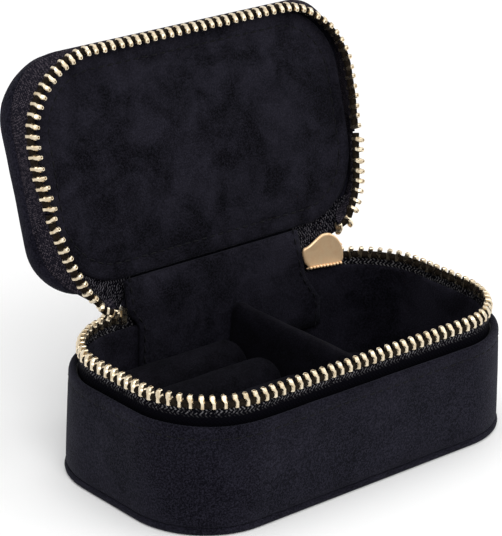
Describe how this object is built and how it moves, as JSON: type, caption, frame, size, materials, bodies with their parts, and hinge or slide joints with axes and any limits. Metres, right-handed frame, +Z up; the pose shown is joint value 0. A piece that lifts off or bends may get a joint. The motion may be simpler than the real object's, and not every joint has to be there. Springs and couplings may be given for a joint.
{
  "type": "jewellery box",
  "caption": "Small velvet jewellery case with a zip round its rim, a hinged padded lid, ring rolls on the left and an open compartment on the right.",
  "frame": {"origin": "middle of the flat underside of the base", "axes": "+X along the case to the right seen from the front, +Y towards the hinge at the back, +Z up"},
  "size_m": [0.1106, 0.0818, 0.0963],
  "materials": {
    "outer_velvet": "dark crushed velvet",
    "lining_velvet": "dark short-pile velvet",
    "zip_tape": "dark woven tape",
    "zip_brass": "pale gold plated, polished",
    "board": "grey pressed board",
    "foam": "soft foam"
  },
  "bodies": {
    "base": {"base_bottom_cover": "outer_velvet", "base_piping": "outer_velvet", "base_cover_band": "outer_velvet", "base_lining": "lining_velvet", "base_floor_pad": "lining_velvet", "divider_cover": "lining_velvet", "base_floor_board": "board", "base_wall_board": "board", "divider_board": "board", "ring_roll_1": "lining_velvet", "ring_roll_2": "lining_velvet", "ring_roll_3": "lining_velvet", "ring_roll_4": "lining_velvet", "ring_cushion_bed": "foam", "base_zip_tape": "zip_tape", "base_zip_teeth": "zip_brass", "zip_top_stop": "zip_brass", "zip_bottom_stop": "zip_brass", "hinge_strip": "outer_velvet", "hinge_flap": "lining_velvet"},
    "lid": {"lid_cover": "outer_velvet", "lid_board": "board", "lid_padding": "foam", "lid_lining_board": "board", "lid_lining_panel": "lining_velvet", "lid_zip_tape": "zip_tape", "lid_zip_teeth": "zip_brass", "zip_end_tape_left": "zip_tape", "zip_end_teeth_left": "zip_brass", "zip_end_tape_right": "zip_tape", "zip_end_teeth_right": "zip_brass"},
    "slider": {"slider_body": "zip_brass", "slider_arch": "zip_brass"},
    "pull": {"pull_tab": "zip_brass"}
  },
  "joints": [
    {"name": "lid_hinge", "type": "hinge", "parent": "base", "child": "lid", "pos_m": [0, 0.029, 0.04], "axis": [1, 0, 0], "range_deg": [0, 105.7], "deforming": ["hinge_strip", "hinge_flap", "zip_end_tape_left", "zip_end_teeth_left", "zip_end_tape_right", "zip_end_teeth_right"]},
    {"name": "slider_travel", "type": "hinge", "parent": "base", "child": "slider", "pos_m": [0.03342, 0.00892, 0.0343], "axis": [0, 0, -1], "range_deg": [0, 20]},
    {"name": "pull_swing", "type": "hinge", "parent": "slider", "child": "pull", "pos_m": [0.03571, 0.03073, 0.0343], "axis": [0, 0, -1], "range_deg": [0, 150]}
  ]
}
